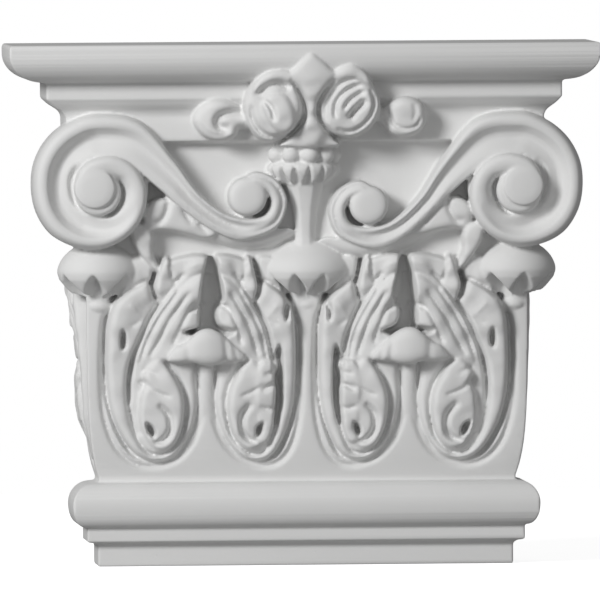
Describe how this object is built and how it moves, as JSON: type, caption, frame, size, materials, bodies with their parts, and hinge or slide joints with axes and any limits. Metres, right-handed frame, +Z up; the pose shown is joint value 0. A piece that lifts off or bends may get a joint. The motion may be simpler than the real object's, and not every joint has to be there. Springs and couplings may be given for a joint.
{
  "type": "corinthian capital",
  "caption": "Pilaster capital in matt white moulded plastic: moulded abacus, corner volutes, inner scrolls, calyx caps and carved acanthus bays over a torus and stepped base.",
  "frame": {"origin": "Centre of the bounding box in plan, at the level of the flat underside that stands on the pilaster shaft.", "axes": "X runs along the wall and is the longest side, Y points back into the wall, Z is up. The carved front faces -Y and the flat back lies in the plane Y = +0.035 m."},
  "size_m": [0.2476, 0.07, 0.221],
  "materials": {
    "casting": "matt off-white primed moulded polyurethane, slightly softened edges"
  },
  "bodies": {
    "root": {"capital": "casting"}
  },
  "joints": []
}
